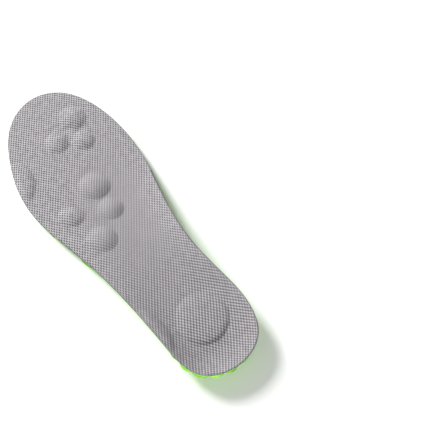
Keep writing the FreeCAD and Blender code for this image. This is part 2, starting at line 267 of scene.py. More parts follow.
class Rim:
    """The insole's outline in plan: one closed smooth curve through the outline's points."""

    def __init__(self, points: tuple[tuple[float, float], ...], samples: int = 1800) -> None:
        """Work the curve out.

        Each coordinate is a periodic cubic spline over the length of the chords: its second
        derivatives solve the usual cyclic three-term equations.

        Args:
            points: The outline's points, counter-clockwise from above.
            samples: How many even samples stand for the curve.
        """
        knots = np.array(points)
        following = np.roll(knots, -1, axis=0)
        spans = np.linalg.norm(following - knots, axis=1)
        count = len(knots)
        system = np.zeros((count, count))
        rows = np.arange(count)
        system[rows, rows - 1] = np.roll(spans, 1)
        system[rows, rows] = 2.0 * (np.roll(spans, 1) + spans)
        system[rows, (rows + 1) % count] = spans
        rates = (following - knots) / spans[:, None]
        bends = np.linalg.solve(system, 6.0 * (rates - np.roll(rates, 1, axis=0)))
        ends = np.concatenate([[0.0], np.cumsum(spans)])
        t = np.linspace(0.0, ends[-1], 8 * samples, endpoint=False)
        i = np.searchsorted(ends, t, side="right") - 1
        h, u = spans[i][:, None], (t - ends[i])[:, None]
        j = (i + 1) % count
        dense = (bends[i] * (h - u) ** 3 + bends[j] * u ** 3) / (6.0 * h)
        dense += (knots[i] / h - bends[i] * h / 6.0) * (h - u)
        dense += (knots[j] / h - bends[j] * h / 6.0) * u
        self.dense = dense
        self.samples = self._even(dense, samples)
        self.outward = outward_of(self.samples)

    @staticmethod
    def _even(line: Array, count: int, closed: bool = True) -> Array:
        """Resample a line at even lengths.

        Args:
            line: Points along it.
            count: How many points to give back.
            closed: Whether the last point leads back to the first.

        Returns:
            The points; an open line keeps both of its ends.
        """
        if closed:
            line = np.vstack([line, line[:1]])
        lengths = np.concatenate([[0.0], np.cumsum(np.linalg.norm(np.diff(line, axis=0), axis=1))])
        wanted = np.linspace(0.0, lengths[-1], count, endpoint=not closed)
        return np.stack([np.interp(wanted, lengths, line[:, axis]) for axis in (0, 1)], axis=1)

    def sides(self, steps: int) -> Array:
        """Place stations round the rim, evenly along each side between the heel and toe tips.

        Args:
            steps: Steps along each side.

        Returns:
            Twice as many points as steps, from the heel tip up the inner side.
        """
        heel, toe = int(self.dense[:, 1].argmin()), int(self.dense[:, 1].argmax())
        turned = np.roll(self.dense, -heel, axis=0)
        toe = (toe - heel) % len(turned)
        inner = self._even(turned[:toe + 1], steps + 1, closed=False)
        outer = self._even(np.vstack([turned[toe:], turned[:1]]), steps + 1, closed=False)
        return np.vstack([inner[:-1], outer[:-1]])

    def nearest(self, points: Array, block: int = 8192) -> Array:
        """Number of the rim's sample nearest to each point, worked out a block at a time."""
        half_squares = (self.samples ** 2).sum(axis=1) / 2.0
        found = np.empty(len(points), int)
        for start in range(0, len(points), block):
            part = points[start:start + block]
            found[start:start + block] = (part @ self.samples.T - half_squares).argmax(axis=1)
        return found

    def inset(self, x: Array, y: Array) -> Array:
        """How far points lie inside the rim, square to its nearest sample; negative outside."""
        points = np.stack([np.ravel(x), np.ravel(y)], axis=1)
        nearest = self.nearest(points)
        apart = points - self.samples[nearest]
        return -(apart * self.outward[nearest]).sum(axis=1).reshape(np.shape(x))


RIM = Rim(OUTLINE)


def climb(inset: Array, width: Array) -> Array:
    """Share of a wall's climb: 0 where it starts, 1 at the rim, on the line 1 - inset / width."""
    return np.clip(1.0 - np.maximum(inset, 0.0) / width, 0.0, 1.0)


def cover_top(x: Array, y: Array) -> Array:
    """Height of the cover's top without pods: a floor, and a wall that climbs to the rim."""
    floor = FLOOR.at(y)
    rise = RIM_HEIGHT.by_side(x, y) - floor
    return floor + rise * climb(RIM.inset(x, y), WALL_WIDTH.by_side(x, y)) ** WALL_POWER


def pinch(x: Array, y: Array) -> Array:
    """Share of a pod's height left near the rim, where cover and foam are pinched together."""
    return smooth((RIM.inset(x, y) - RIM_MARGIN) / PINCH_WIDTH)


def sole_base(x: Array, y: Array) -> Array:
    """Height of the sole between the cobbles: flat, and rising at the flank to the edge."""
    rise = RIM_HEIGHT.by_side(x, y) - LAYERS - EDGE_THICKNESS.by_side(x, y) - SOLE_CLEARANCE
    share = climb(RIM.inset(x, y), FLANK_WIDTH) ** FLANK_POWER
    return SOLE_CLEARANCE + np.maximum(rise, 0.0) * share


def strips(rings: list[Array]) -> list[Array]:
    """Join each two neighbouring closed rings of vertex numbers with quads."""
    return [np.stack([a, b, np.roll(b, -1), np.roll(a, -1)], axis=1) for a, b in zip(rings, rings[1:])]


def steps_to(count: int) -> Array:
    """Even shares between 0 and 1, without either end."""
    return np.arange(1, count) / count


def round_the(around: int) -> Array:
    """Angles of even steps round an oval."""
    return np.linspace(0.0, 2.0 * math.pi, around, endpoint=False)


class RayGrid:
    """Rays from a spine along the insole's middle out to its rim, for shells of any section.

    A point on a ray is spine times (1 - share) plus rim times share. Rays of the two sides
    start from the same spine points, so a shell has no hole and no crossing.
    """

    SPINE = (-14.0, 170.0)      # where the spine runs from and to, along Y

    def __init__(self, steps: int) -> None:
        """Lay the rays out.

        Args:
            steps: Steps along each side of the rim.
        """
        self.steps = steps
        self.rim = RIM.sides(steps)
        self.outward = outward_of(self.rim)
        self.station = np.minimum(np.arange(2 * steps), 2 * steps - np.arange(2 * steps))
        other = (2 * steps - np.arange(steps + 1)) % (2 * steps)
        middle = (self.rim[:steps + 1] + self.rim[other]) / 2.0
        share = (middle[:, 1] - middle[0, 1]) / (middle[-1, 1] - middle[0, 1])
        self.spine = np.stack([middle[:, 0], self.SPINE[0] + share * (self.SPINE[1] - self.SPINE[0])],
                              axis=1)
        spans = np.linalg.norm(np.roll(self.rim, -1, axis=0) - self.rim, axis=1)
        self.length = float(spans.sum())
        self.along = np.concatenate([[0.0], np.cumsum(spans)[:-1]])

    def plan(self, share: float, outset: float | Array = 0.0) -> Array:
        """Points of one ring in plan, at a share along the rays and moved out square to the rim."""
        start = self.spine[self.station]
        return start + (self.rim - start) * share + self.outward * outset

    def build(self, name: str, spine_top: Array, rings: Array, spine_bottom: Array,
              flat: Array | None = None, groove: Array | None = None) -> bpy.types.Object:
        """Make a closed shell from rings that run over the top, round the edge and back below.

        Args:
            name: The piece's name.
            spine_top: Heights of the spine's points on top.
            rings: The rings, as ring, station and x, y, z.
            spine_bottom: Heights of the spine's points below.
            flat: For each vertex, where it lay on the flat cloth, in millimetres, or None.
            groove: For each vertex, how deep in a groove it lies, 0 to 1, or None.

        Returns:
            The object.
        """
        count = 2 * self.steps
        first = self.steps + 1
        number = first + np.arange(rings.shape[0] * count).reshape(rings.shape[0], count)
        top, bottom = self.station, self.station + number[-1, -1] + 1
        quads = strips([top, *number, bottom])
        vertices = np.vstack([np.column_stack([self.spine, spine_top]), rings.reshape(-1, 3),
                              np.column_stack([self.spine, spine_bottom])])
        return make_mesh(name, vertices, np.vstack(quads), flat, groove)


def make_mesh(name: str, vertices: Array, quads: Array, flat: Array | None = None,
              groove: Array | None = None) -> bpy.types.Object:
    """Write arrays into a new mesh object with smooth shading.

    Args:
        name: The piece's name.
        vertices: Points in millimetres.
        quads: Four vertex numbers for each face, counter-clockwise from outside.
        flat: Places on the flat cloth in millimetres, one for each vertex, or None.
        groove: How deep in a groove each vertex lies, 0 to 1, or None.

    Returns:
        The object, at the origin.
    """
    mesh = bpy.data.meshes.new(name)
    mesh.vertices.add(len(vertices))
    mesh.vertices.foreach_set("co", (vertices * MM).astype(np.float32).ravel())
    mesh.loops.add(quads.size)
    mesh.loops.foreach_set("vertex_index", quads.astype(np.int32).ravel())
    mesh.polygons.add(len(quads))
    mesh.polygons.foreach_set("loop_start", np.arange(0, quads.size, 4, dtype=np.int32))
    mesh.polygons.foreach_set("use_smooth", np.ones(len(quads), bool))
    mesh.update(calc_edges=True)
    if flat is not None:
        layer = mesh.uv_layers.new(name=YARN_MAP)
        layer.uv.foreach_set("vector", (flat[quads.ravel()] / UV_UNIT).astype(np.float32).ravel())
    if groove is not None:
        layer = mesh.attributes.new(GROOVE_MAP, "FLOAT", "POINT")
        layer.data.foreach_set("value", groove.astype(np.float32))
    mesh.validate()
    made = bpy.data.objects.new(name, mesh)
    bpy.context.scene.collection.objects.link(made)
    return made


# ---- finishes -----------------------------------------------------------------------------
@dataclass(frozen=True)
class BirdEyeKnit:
    """Polyester bird-eye knit, laid flat in the mould: matte, with small dark eyelets.

    Pale yarn columns stand up and the eyelets between them fall into shade, so the eye reads
    soft grey ribs with a slanting row of dots. Wale and course are the pattern's waves over
    the flat cloth, in turns for each millimetre, measured as pitches of about 2 mm.
    """

    wale: tuple[float, float] = (0.405, -0.300)
    course: tuple[float, float] = (0.418, 0.350)
    # yarn is the cloth's own colour; shade and eyelet are painted shade.
    yarn: str = "ACA9AC"
    shade: str = "838083"
    eyelet: str = "333034"
    relief: float = 0.28        # millimetres between the ribs' tops and the eyelets
    middle: float = 0.45        # darkness where all the waves are level
    strengths: tuple[float, float, float] = (0.24, 0.24, 0.20)
    uneven: float = 0.18        # how much the darkness differs from stitch to stitch
    blotches: float = 0.28      # its cells for each millimetre: two stitches wide
    fibres: float = 4.0         # fibres for each millimetre
    fuzz: float = 0.2           # how high they stand, as a share of the relief

    def make(self) -> bpy.types.Material:
        """Build the material.

        Darkness is a middle value plus cos(wale), cos(course) and cos(wale + course), each
        times its strength. It is over one in an eyelet's middle, and falls to the ribs and
        bridges of yarn round it.

        Returns:
            The material.
        """
        material, tree = new_material("bird_eye_knit_polyester")
        cloth = add_node(tree, "UVMap", uv_map=YARN_MAP).outputs["UV"]
        total = self.middle
        both = (self.wale[0] + self.course[0], self.wale[1] + self.course[1])
        for wave, strength in zip((self.wale, self.course, both), self.strengths):
            turns = [2.0 * math.pi * UV_UNIT * part for part in wave]
            phase = add_node(tree, "VectorMath", {0: cloth, 1: (*turns, 0.0)}, operation="DOT_PRODUCT")
            ripple = maths(tree, "COSINE", phase.outputs["Value"])
            total = maths(tree, "MULTIPLY_ADD", ripple, strength, total)
        # Yarns differ a little in thickness and dye, from stitch to stitch.
        blotch = noise(tree, cloth, self.blotches * UV_UNIT, 2.0, "2D")
        uneven = maths(tree, "MULTIPLY_ADD", blotch, 2.0 * self.uneven, -self.uneven)
        dark = maths(tree, "ADD", total, uneven, use_clamp=True)
        # The ramp paints shade: its shade and eyelet stops darken the yarns' flanks and the eyelets'
        # hollows, over the bump's own shading.
        colour = ramp(tree, dark, (0.08, self.yarn), (0.48, self.shade), (0.92, self.eyelet), "EASE")
        # Fibres across the yarn: fine fuzz.
        fuzz = noise(tree, cloth, self.fibres * UV_UNIT, 1.0, "2D")
        height = maths(tree, "SUBTRACT", maths(tree, "MULTIPLY", fuzz, self.fuzz), dark)
        return shade(material, {
            "Base Color": colour, "Roughness": 0.92, "IOR": 1.5, "Specular IOR Level": 0.25,
            "Sheen Weight": 0.12, "Sheen Roughness": 0.5,
            "Normal": bumped(tree, height, 0.8, self.relief)})


@dataclass(frozen=True)
class MouldedFoam:
    """Polyurethane foam with a moulded skin: satin, with a faint orange-peel and soft mottling.

    Grooves and holes are painted in a deeper, darker colour than the crowns: painted shade.
    """

    name: str
    skin: str
    deep: str
    groove: str
    roughness: float = 0.36
    peel: float = 0.05          # millimetres of the skin's unevenness
    groove_shade: float = 0.5      # how much the tone falls from a crown to a groove's bottom: painted shade

    def make(self) -> bpy.types.Material:
        """Build the material."""
        material, tree = new_material(self.name)
        place = add_node(tree, "TexCoord").outputs["Object"]
        mottle = noise(tree, place, 110.0, 3.0)
        # Painted shade: the groove map lowers the tone in grooves and holes, towards the groove colour.
        low = add_node(tree, "Attribute", attribute_name=GROOVE_MAP).outputs["Fac"]
        tone = maths(tree, "MULTIPLY_ADD", low, -self.groove_shade, mottle)
        colour = ramp(tree, tone, (0.02, self.groove), (0.36, self.deep), (0.65, self.skin))
        gloss = spread_over(tree, mottle, self.roughness - 0.06, self.roughness + 0.08)
        peel = noise(tree, place, 900.0, 2.0)
        return shade(material, {"Base Color": colour, "Roughness": gloss, "IOR": 1.48,
                                "Normal": bumped(tree, peel, 0.5, self.peel)})


@dataclass(frozen=True)
class HotMeltFilm:
    """Extruded hot-melt adhesive film: smooth, and only its cut edge shows; its near-black colour is
    partly painted shadow under the cover's cut edge.
    """

    # Near black: partly painted shadow under the cover's cut edge.
    colour: str = "3A3B48"

    def make(self) -> bpy.types.Material:
        """Build the material."""
        material, tree = new_material("hot_melt_film_extruded")
        place = add_node(tree, "TexCoord").outputs["Object"]
        gloss = spread_over(tree, noise(tree, place, 260.0, 2.0), 0.38, 0.62)
        return shade(material, {"Base Color": linear(self.colour), "IOR": 1.5, "Roughness": gloss})


class Finish(Enum):
    """The insole's finishes."""

    KNIT = BirdEyeKnit()
    FILM = HotMeltFilm()
    # Each foam's groove colour is painted shade for the bottoms of its grooves and holes.
    FOAM = MouldedFoam("polyurethane_foam_lime_moulded", skin="A2E248", deep="8AD335",
                        groove="4E9116")
    PAD = MouldedFoam("polyurethane_foam_heel_pad_moulded", skin="9EDF45", deep="86D032",
                       groove="4E9116", roughness=0.34)
    POD = MouldedFoam("polyurethane_foam_soft_pale_moulded", skin="DDE2D2", deep="CBD2BE",
                       groove="B7BEA8", roughness=0.6)


MADE: dict[Finish, bpy.types.Material] = {}


def dress(piece: bpy.types.Object, finish: Finish) -> None:
    """Give a piece its material, made once for each finish.

    Args:
        piece: The object.
        finish: Its finish.
    """
    if finish not in MADE:
        MADE[finish] = finish.value.make()
    piece.data.materials.append(MADE[finish])


# ---- the flex zone at the ball ------------------------------------------------------------
@dataclass(frozen=True)
class BallFlex:
    """The bend at the ball of the foot: the zone over which foam and cover curl upwards."""

    behind: float = 22.0        # millimetres of the zone on the heel's side of the flex line
    ahead: float = 24.0         # and on the toe's side

    def bend(self, piece: bpy.types.Object) -> None:
        """Bake a finished piece's placement into its mesh."""
        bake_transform(piece)


FLEX = BallFlex()


# ---- cushion pods -------------------------------------------------------------------------
@dataclass(frozen=True)
class Pod:
    """A cushion pod or pad under the cover: an oval dome set into a pocket of the foam.

    Its top stands over the foam by height * (1 - r ** steepness), where r is 0 at its centre
    and 1 at its rim.
    """

    name: str
    x: float
    y: float
    half_length: float
    half_width: float
    turn: float
    height: float
    steepness: float
    bends: bool = True

    POCKET = 1.5                # how deep a pod sits in the foam
    SKIRT = 1.04                # a pod's own rim, past where its top meets the foam's
    DRAPE = 0.22                # softness of the fold where the cover comes down to the foam
    FAR = 1.6                   # distance r from which a pod no longer counts

    def spread(self, x: Array, y: Array) -> Array:
        """The oval distance r of points from the centre: 0 there and 1 at the pod's rim."""
        across, length = turned(x - self.x, y - self.y, -self.turn)
        return np.hypot(across / self.half_width, length / self.half_length)

    def swell(self, x: Array, y: Array) -> Array:
        """Millimetres that the cover rises over this pod: its dome, blended softly into nothing."""
        r = np.minimum(self.spread(x, y), self.FAR)
        dome = self.height * (1.0 - r ** self.steepness)
        return self.DRAPE * np.logaddexp(0.0, dome / self.DRAPE)

    def build(self, around: int = 96, out: int = 26) -> bpy.types.Object:
        """Make the pod: rings from the middle of its top over the rim to the middle of its base.

        Args:
            around: Steps round the oval.
            out: Rings from the middle to the rim.

        Returns:
            The object.
        """
        theta = round_the(around)
        r = np.linspace(0.0, self.SKIRT, out + 1)[1:, None]
        x, y = turned(self.half_width * r * np.cos(theta), self.half_length * r * np.sin(theta),
                      self.turn, (self.x, self.y))
        plan = np.stack([x, y], axis=-1)
        outward = RIM.outward[RIM.nearest(plan.reshape(-1, 2))].reshape(plan.shape)
        plan += np.minimum(RIM.inset(x, y) - RIM_MARGIN, 0.0)[..., None] * outward
        x, y = plan[..., 0], plan[..., 1]
        foam = cover_top(x, y) - LAYERS
        dome = self.height * (1.0 - np.minimum(self.spread(x, y), self.SKIRT) ** self.steepness)
        top = np.stack([x, y, foam + dome * pinch(x, y) - PLAY], axis=-1)
        base = np.stack([x, y, foam - self.POCKET], axis=-1)[::-1]
        middle = np.array([[self.x, self.y]])
        level = float((cover_top(*middle.T) - LAYERS)[0])
        return make_round(self.name + "_foam", np.vstack([top, base]),
                          (self.x, self.y, level + self.height), (self.x, self.y, level - self.POCKET))


def make_round(name: str, rings: Array, top: tuple, bottom: tuple) -> bpy.types.Object:
    """Make a closed round piece from rings, from the middle of its top to that of its base.

    Args:
        name: The piece's name.
        rings: The rings, as ring, station and x, y, z.
        top: The middle of the top.
        bottom: The middle of the base.

    Returns:
        The object. The middles are closed with quads that take in two steps each.
    """
    rows, count = rings.shape[:2]
    number = np.arange(rows * count).reshape(rows, count)
    quads = strips(list(number))
    even = np.arange(0, count, 2)
    caps = []
    for ring, middle, step in ((number[0], rows * count, 1), (number[-1], rows * count + 1, -1)):
        corner, side = ring[even], ring[(even + 1) % count]
        far = ring[(even + 2) % count]
        centre = np.full(len(even), middle)
        order = (centre, corner, side, far) if step > 0 else (centre, far, side, corner)
        caps.append(np.stack(order, axis=1))
    vertices = np.vstack([rings.reshape(-1, 3), [top], [bottom]])
    return make_mesh(name, vertices, np.vstack(quads + caps))


@dataclass(frozen=True)
class PodSet:
    """All the pods and pads under the cover."""

    pods: tuple[Pod, ...] = (
        Pod("toe_pod_front", 21.0, 178.5, 10.5, 9.0, 50.0, 3.4, 2),
        Pod("toe_pod_outer", -0.3, 169.2, 9.2, 8.3, 50.0, 3.2, 2),
        Pod("toe_pod_inner", 16.8, 158.8, 8.8, 7.8, 50.0, 3.2, 2),
        Pod("ball_pod_front", 1.5, 124.5, 12.2, 10.4, 50.0, 4.4, 2),
        Pod("ball_pod_middle", 0.5, 102.6, 9.8, 8.7, 50.0, 4.0, 2),
        Pod("ball_pod_outer", -26.0, 115.5, 10.0, 8.0, 50.0, 3.6, 2),
        Pod("ball_pod_rear", -18.5, 87.0, 11.5, 10.0, 50.0, 4.2, 2),
        Pod("forefoot_edge_pad", -42.5, 161.0, 17.0, 13.5, -17.0, 2.4, 6),
        Pod("heel_disc", 3.0, -4.0, 19.5, 19.0, 0.0, 2.4, 8, bends=False),
        Pod("heel_edge_pad", -32.5, 9.0, 21.0, 11.0, 3.0, 2.2, 6, bends=False),
    )

    def swell(self, x: Array, y: Array) -> Array:
        """How far the cover rises over all the pods, in millimetres."""
        return sum(pod.swell(x, y) for pod in self.pods) * pinch(x, y)

    def pocket(self, x: Array, y: Array) -> Array:
        """How deep the foam's pockets are, with walls half a millimetre wide."""
        wall = 0.5
        inside = [smooth((Pod.SKIRT - pod.spread(x, y)) * pod.half_width / wall + 1.0)
                  for pod in self.pods]
        return Pod.POCKET * np.max(inside, axis=0)

    def build(self) -> list[bpy.types.Object]:
        """Make and dress every pod; the pods that do not bend hang on the rearfoot."""
        made = []
        for pod in self.pods:
            piece = pod.build()
            dress(piece, Finish.POD)
            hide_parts(pod.name)
            if pod.bends:
                FLEX.bend(piece)
            else:
                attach(piece, "rearfoot")
            made.append(piece)
        return made


PODS = PodSet()


# ---- foam base ----------------------------------------------------------------------------
@dataclass(frozen=True)
class Cobble:
    """A pillow-like cobble that stands square to the sole, with its holes' columns."""

    x: float
    y: float
    radius: float
    columns: tuple[int, ...] = ()

    PLAIN = 3.0                 # height of a plain cobble
    CUT_FLAT = 3.6              # height of a perforated one before it is cut flat

    @property
    def height(self) -> float:
        """Height over the sole; a perforated cobble is tall enough to be cut flat."""
        return self.CUT_FLAT if self.columns else self.PLAIN

    def holes(self, column_step: tuple[float, float],
              hole_step: tuple[float, float]) -> list[tuple[float, float]]:
        """Centres of its slanting grid of holes.

        Args:
            column_step: From one column to the next, in x and y.
            hole_step: From one hole to the next in a column.

        Returns:
            The centres.
        """
        places = []
        for c, count in enumerate(self.columns):
            across = c - (len(self.columns) - 1) / 2
            for h in range(count):
                down = h - (count - 1) / 2
                places.append((self.x + across * column_step[0] + down * hole_step[0],
                               self.y + across * column_step[1] + down * hole_step[1]))
        return places


@dataclass
class HeelPad:
    """The oval perforated pad in the middle of the heel's sole, in a moat."""

    half_length: float = 27.0
    half_width: float = 19.0
    turn: float = 6.0
    depth: float = 4.5
    bevel: float = 1.2
    bevel_rings: int = 8
    moat: float = 1.6
    moat_floor: float = 3.4
    seat: float = 0.05          # gap between the pad's back and its pocket
    back_inset: float = 2.0     # how far inside the edge the back's one ring lies
    hole_radius: float = 1.05
    hole_depth: float = 2.4
    grid: Cobble = Cobble(0.0, 0.0, 0.0, (4, 4, 4, 4))
    column_step: tuple[float, float] = (-3.0, -8.4)
    hole_step: tuple[float, float] = (5.0, -5.9)

    def outside(self, x: Array, y: Array) -> Array:
        """Millimetres that points lie outside the pad's edge: oval distance over its own slope."""
        across, length = turned(x, y, -self.turn)
        across, length = across / self.half_width, length / self.half_length
        r = np.hypot(across, length)
        slope = np.hypot(across / self.half_width, length / self.half_length) / np.maximum(r, 1e-6)
        return (r - 1.0) / np.maximum(slope, 1.0 / self.half_length)

    def build(self, around: int = 320, out: int = 92) -> bpy.types.Object:
        """Make the pad: flat face with soft-lipped blind holes, bevelled edge, straight side.

        Args:
            around: Steps round the oval.
            out: Rings from the middle of the face to its edge.

        Returns:
            The object.
        """
        theta = round_the(around)
        share = np.linspace(0.0, 1.0, out + 1)[1:]
        # Edge of the face: the bevel is a quarter of an oval, from the side to the face.
        swing = np.linspace(0.0, math.pi / 2.0, self.bevel_rings + 1)[1:]
        side_r = [0.0, 0.0] + list(self.bevel * (1.0 - np.cos(swing)))
        back_z = self.depth - self.seat
        side_z = [back_z, self.bevel] + list(self.bevel * (1.0 - np.sin(swing)))
        face_r = self.bevel + (self.half_width - self.bevel) * (1.0 - share[::-1])
        inset = np.concatenate([[self.back_inset], side_r, face_r[1:]])
        level = np.concatenate([[back_z], side_z, np.zeros(out - 1)])
        r_short = (self.half_width - inset)[:, None]
        r_long = (self.half_length - inset * self.half_length / self.half_width)[:, None]
        edge = np.minimum(inset, self.bevel)[:, None]
        r_long = np.where(inset[:, None] <= self.bevel, self.half_length - edge, r_long)
        x, y = turned(r_short * np.cos(theta), r_long * np.sin(theta), self.turn)
        z = np.broadcast_to(level[:, None], x.shape).copy()
        face = np.arange(len(inset)) > len(side_r)
        places = self.grid.holes(self.column_step, self.hole_step)
        x[face], y[face], dent = punch(x[face], y[face], places, self.hole_radius, self.hole_depth)
        z[face] += dent
        rings = np.stack([x, y, z], axis=-1)
        piece = make_round("heel_pad_foam", rings, (0.0, 0.0, back_z), (0.0, 0.0, 0.0))
        dress(piece, Finish.PAD)
        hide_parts("heel_pad")
        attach(piece, "rearfoot")
        return piece


HOLE_DRAW = 0.45                # how far points near a hole are drawn to its edge, as a share
HOLE_DRAW_REACH = 0.42          # how near the edge they lie, in radii
HOLE_NEAR = 2.2                 # how far from the middle any point is drawn, in radii
HOLE_FLOOR = 0.74               # radius of the hole's floor, in radii
HOLE_WALL = 0.34                # width of its sloping wall, in radii
LIP_HEIGHT = 0.10               # height of the raised ring round it
LIP_MIDDLE = 1.32               # where the ring is highest, in radii
LIP_WIDTH = 0.20                # how wide it is, in radii


def punch(x: Array, y: Array, centres: list[tuple[float, float]], radius: float,
          depth: float) -> tuple[Array, Array, Array]:
    """Sink round blind holes with softly raised lips into a face.

    Points near a hole's edge are drawn closer to it, so that few faces make a round hole. The
    dent is the depth times a smooth step over the wall, less a low ring just outside the hole.

    Args:
        x: The points' x.
        y: The points' y.
        centres: The holes' centres.
        radius: The holes' radius.
        depth: Their depth.

    Returns:
        The points' new x and y, and how deep each lies.
    """
    dent = np.zeros_like(x)
    for cx, cy in centres:
        dx, dy = x - cx, y - cy
        r = np.hypot(dx, dy) + 1e-9
        nearness = np.exp(-((r - radius) / (HOLE_DRAW_REACH * radius)) ** 2)
        pull = 1.0 - HOLE_DRAW * (r - radius) / r * nearness
        near = r < HOLE_NEAR * radius
        x = np.where(near, cx + dx * pull, x)
        y = np.where(near, cy + dy * pull, y)
        r = np.where(near, r * pull, r)
        dent = dent + depth * (1.0 - smooth((r / radius - HOLE_FLOOR) / HOLE_WALL))
        dent = dent - LIP_HEIGHT * np.exp(-((r / radius - LIP_MIDDLE) / LIP_WIDTH) ** 2)
    return x, y, dent


@dataclass
class FoamBase:
    """The moulded base: heel cup, arch and cobbled sole in one piece."""

    pad: HeelPad = field(default_factory=HeelPad)
    steps: int = 600
    top_rings: int = 34
    sole_rings: int = 150
    groove: float = 0.12        # softness of the grooves between cobbles
    floor: float = -0.35        # how deep the sole lies where no cobble reaches
    band: float = 2.0           # plain band of foam between the film and the lobes
    film_play: float = 0.03     # gap between the foam's top and the film
    ground: float = 0.12        # how softly the crowns flatten on the ground
    wall: float = 0.5           # width of the moat's and the pocket's walls
    moat_wall: float = 0.1      # how far past the moat's edge its wall ends
    pocket_wall: float = 0.3    # how far inside the pad's edge the pocket's wall starts
    crown: float = 2.3          # a point that stands out this far is out of the grooves
    crowding: float = 1.14      # how far a cobble would reach past its radius, into its neighbours
    pillow: float = 2.2         # the power of a cobble's fall: 2 is a ball, more is a pillow
    lobe_pitch: float = 12.0
    lobe_overlap: float = 1.12  # a lobe's length along the rim, in pitches
    lobe_swing: float = 2.4     # radians from lobe to lobe of the wave that makes some longer
    sunk: float = -3.0          # lowest value of a cobble's or lobe's own field
    moat_blend: float = 1.6     # width over which the cobbles end at the heel pad's moat
    wall_rings: int = 12
    least_wall: float = 0.6     # least height of the wall below the plain band
    tuck_reach: float = 0.7     # share of the wall's height at which the flank is fully tucked in
    tuck_power: int = 4         # power with which the tuck dies away on the rays inwards
    fade: float = 1.5           # length below the plain band over which the lobes rise
    edge: tuple[tuple[float, float], ...] = (       # the band's rounded top: (outset, drop)
        (0.0, 0.0), (0.14, 0.06), (0.2, 0.25), (0.2, 0.9), (0.16, 1.6),
    )
    hole_radius: float = 1.05
    hole_depth: float = 2.2
    column_step: tuple[float, float] = (-3.1, -5.5)
    hole_step: tuple[float, float] = (3.1, -3.7)
    # Lobes that ring the flank: (y, middle down the flank, half length, height).
    lobes: Table = Table((
        (-60.0, 8.0, 10.5, 2.6), (-34.0, 8.0, 10.5, 2.6), (-14.0, 10.0, 9.5, 2.6),
        (40.0, 9.5, 7.5, 2.5), (100.0, 9.0, 6.0, 2.2), (150.0, 10.0, 5.0, 1.8),
        (225.0, 10.5, 4.8, 1.6),
    ))
    # How far the flank is tucked in under the rim: (y, inner side, outer side).
    tuck: Table = Table((
        (-60.0, 1.6, 0.0), (-40.0, 2.2, 0.0), (-25.0, 2.4, 0.0), (-12.0, 2.4, 0.5), (0.0, 2.4, 2.2),
        (20.0, 2.0, 2.2), (225.0, 1.4, 1.6),
    ))
    cobbles: tuple[Cobble, ...] = tuple(Cobble(*spec) for spec in (
        (-10.0, 175.0, 11.5, (3, 3, 3)), (14.0, 156.0, 13.5, (3, 4, 4, 3)),
        (-14.0, 143.5, 11.0, (3, 3, 3)), (-31.5, 131.0, 9.0, (2, 2)), (0.0, 131.0, 8.5, (2, 2)),
        (-19.0, 117.5, 9.0, (2, 2)), (-1.5, 109.0, 10.0, (2, 3, 2)), (-24.0, 95.0, 10.0, (2, 3, 2)),
        (-8.5, 82.5, 11.0, (3, 3, 3)),
        (4.0, 188.5, 9.5), (10.5, 173.5, 8.0), (-23.0, 183.0, 7.5), (-26.5, 172.0, 7.5),
        (-23.5, 159.5, 9.5), (-34.5, 149.0, 9.0), (27.0, 172.0, 8.5), (31.5, 152.0, 8.5),
        (16.0, 135.0, 9.5), (31.0, 135.5, 8.5), (12.5, 120.5, 8.5), (27.0, 120.0, 9.0),
        (15.5, 105.5, 9.0), (29.0, 105.5, 8.5), (4.0, 94.5, 8.5), (20.0, 91.5, 9.5),
        (-37.5, 115.0, 9.0), (-34.0, 81.0, 9.0), (9.0, 79.0, 9.0), (24.0, 77.0, 9.0),
        (-24.0, 69.5, 10.0), (-4.0, 66.0, 8.5), (11.0, 64.5, 8.0), (-17.0, 54.5, 10.0),
        (-2.0, 52.0, 7.0), (8.0, 53.0, 6.5), (20.0, 60.0, 8.5), (-27.5, 45.0, 8.0),
        (-13.0, 39.0, 9.5), (4.0, 39.5, 10.5), (18.5, 43.5, 9.0), (-24.5, 29.0, 8.0),
        (17.5, 28.0, 8.0), (-14.5, 27.0, 6.5), (-9.8, 97.5, 6.5), (-11.8, 128.5, 6.0), (-5.2, 158.0, 7.0),
        (19.5, 185.5, 7.5), (-12.0, 192.0, 6.5), (24.0, 143.5, 4.5), (30.0, 162.0, 4.5),
    ))

    def relief(self, points: Array, along: Array, down: Array, length: float) -> Array:
        """How far the cobbles and lobes stand out of the bare sole.

        A cobble is its height times 1 less a power of its distance, as a share of its reach. A
        lobe is its height times 1 less the squares of its shares along and down the flank.
        Neighbours meet in soft grooves, and nothing stands in the heel pad's moat.

        Args:
            points: The bare surface, with x, y, z last.
            along: Length round the rim, for each point.
            down: Length down the flank from the plain band, for each point.
            length: The rim's whole length.

        Returns:
            Millimetres, square to the bare surface.
        """
        fields = [np.full(points.shape[:-1], self.floor)]
        for cobble in self.cobbles:
            middle_z = float(sole_base(np.array([cobble.x]), np.array([cobble.y]))[0])
            apart = points - np.array([cobble.x, cobble.y, middle_z])
            away = np.linalg.norm(apart, axis=-1) / (cobble.radius * self.crowding)
            fields.append(np.maximum(cobble.height * (1.0 - away ** self.pillow), self.sunk))
        count = round(length / self.lobe_pitch)
        pitch = length / count
        number = np.floor(along / pitch)
        vary = 0.5 + 0.5 * np.sin(number * self.lobe_swing)
        share = ((along / pitch - number - 0.5) * 2.0 / self.lobe_overlap) ** 2
        y = points[..., 1]
        middle, half, tall = (self.lobes.at(y, column) for column in (1, 2, 3))
        reach = ((down - middle - vary) / (half + vary)) ** 2
        fields.append(np.maximum(tall * (1.0 - share - reach), self.sunk))
        stand = soft_max(np.array(fields), self.groove)
        outside = self.pad.outside(points[..., 0], points[..., 1])
        return stand * smooth((outside - self.pad.moat) / self.moat_blend)

